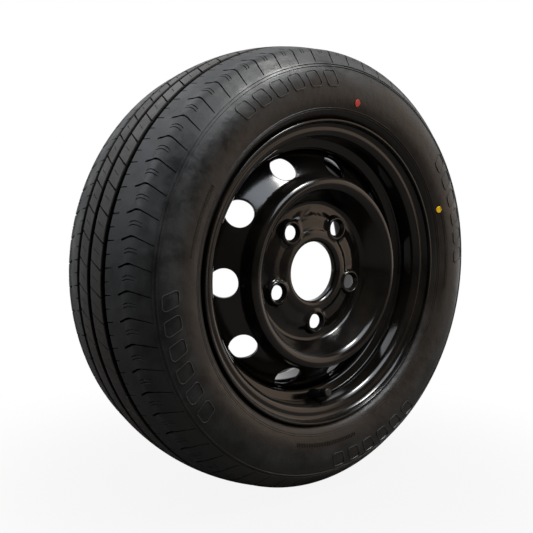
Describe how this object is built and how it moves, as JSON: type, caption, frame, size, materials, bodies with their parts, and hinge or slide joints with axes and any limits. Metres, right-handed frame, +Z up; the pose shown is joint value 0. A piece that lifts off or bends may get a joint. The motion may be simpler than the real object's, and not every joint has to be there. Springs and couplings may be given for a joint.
{
  "type": "steel car wheel with tyre",
  "caption": "Pressed steel car wheel with a ring of round vents, a rolled rim, a radial tyre with grooved tread, and a snap-in air valve with a screw cap.",
  "frame": {"origin": "the wheel's centre, on its axis and midway between the rim's flanges", "axes": "+Y along the wheel's axis towards the vehicle, the street side faces -Y, +Z up; the valve is at the bottom"},
  "size_m": [0.5027, 0.1762, 0.5026],
  "materials": {
    "tyre_rubber": "dull black tread rubber",
    "black_paint": "gloss black paint on steel",
    "valve_rubber": "smooth black rubber",
    "brass": "turned brass",
    "spring_steel": "drawn spring wire",
    "cap_plastic": "moulded black plastic"
  },
  "bodies": {
    "wheel": {"tyre": "tyre_rubber", "rim": "black_paint", "disc": "black_paint", "disc_welds": "black_paint", "valve_body": "valve_rubber", "valve_stem": "brass", "core_plug": "brass", "core_barrel": "brass", "core_gasket": "valve_rubber", "core_spring": "spring_steel"},
    "valve_pin": {"core_pin": "brass", "core_cup": "brass", "core_cup_seal": "valve_rubber"},
    "cap_seal": {"valve_cap_seal": "valve_rubber"},
    "cap": {"valve_cap": "cap_plastic"}
  },
  "joints": [
    {"name": "valve_pin_press", "type": "slide", "parent": "wheel", "child": "valve_pin", "axis": [0.0134, 0.9641, -0.265], "range_m": [0, 0.0012], "stiffness_N_per_m": 600, "springref_m": -0.0015, "deforming": ["core_spring"]},
    {"name": "cap_unscrew", "type": "slide", "parent": "wheel", "child": "cap_seal", "axis": [-0.0134, -0.9641, 0.265], "range_m": [0, 0.0088]},
    {"name": "cap_turn", "type": "hinge", "parent": "cap_seal", "child": "cap", "pos_m": [0.00699, -0.06615, -0.13807], "axis": [-0.0134, -0.9641, 0.265], "range_deg": [0, 4000]}
  ],
  "couplings": [
    {"joint": "cap_turn", "follows": "cap_unscrew", "rad_per_m": 7913.3}
  ]
}
